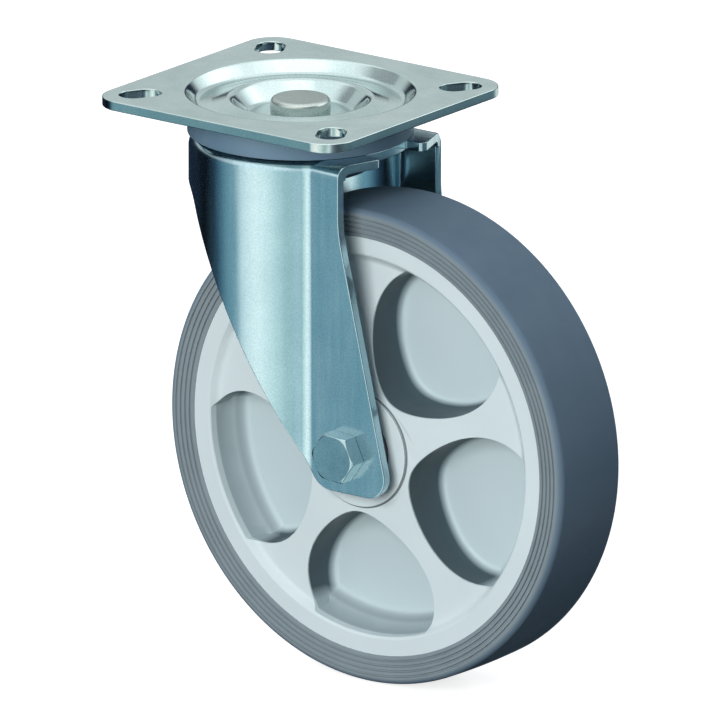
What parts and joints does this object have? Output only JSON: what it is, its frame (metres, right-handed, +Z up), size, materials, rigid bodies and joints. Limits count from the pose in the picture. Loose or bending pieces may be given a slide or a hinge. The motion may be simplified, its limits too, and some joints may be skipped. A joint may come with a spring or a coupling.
{
  "type": "swivel castor",
  "caption": "Swivel castor: slotted top plate with ball-bearing swivel head, pressed steel fork, plastic spoked wheel with rubber tyre on a through axle.",
  "frame": {"origin": "on the swivel axis at the top plate's upper face, which is the centre of the slot pattern", "axes": "+Z up along the swivel axis, +X the direction the wheel trails in at rest, Y along the axle with the bolt's head at -Y"},
  "size_m": [0.2098, 0.119, 0.2375],
  "materials": {
    "plate_zinc": "bright zinc-plated sheet",
    "fork_zinc": "blue-passivated zinc-plated sheet",
    "pin_zinc": "zinc-plated turned steel",
    "bolt_zinc": "zinc-plated fastener",
    "bearing_steel": "polished bearing steel",
    "seal_plastic": "satin slate-blue plastic",
    "insert_plastic": "white nylon",
    "dark_plastic": "dark moulded plastic",
    "wheel_plastic": "pale grey moulded plastic, satin",
    "tyre_rubber": "grey non-marking rubber"
  },
  "bodies": {
    "plate": {"top_plate": "plate_zinc", "kingpin": "pin_zinc", "kingpin_nut": "pin_zinc", "lower_race": "plate_zinc"},
    "fork": {"fork": "fork_zinc", "swivel_seal": "seal_plastic", "upper_balls": "bearing_steel", "lower_balls": "bearing_steel", "axle_bolt": "bolt_zinc", "axle_nut": "bolt_zinc", "nut_insert": "insert_plastic", "axle_tube": "pin_zinc", "thrust_washers": "dark_plastic"},
    "wheel": {"wheel_centre": "wheel_plastic", "tyre": "tyre_rubber", "roller_cage": "dark_plastic", "rollers": "bearing_steel"}
  },
  "joints": [
    {"name": "swivel", "type": "hinge", "parent": "plate", "child": "fork", "pos_m": [0, 0, 0], "axis": [0, 0, 1], "continuous": true},
    {"name": "wheel_spin", "type": "hinge", "parent": "fork", "child": "wheel", "pos_m": [0.0478, 0, -0.1375], "axis": [0, 1, 0], "continuous": true}
  ]
}
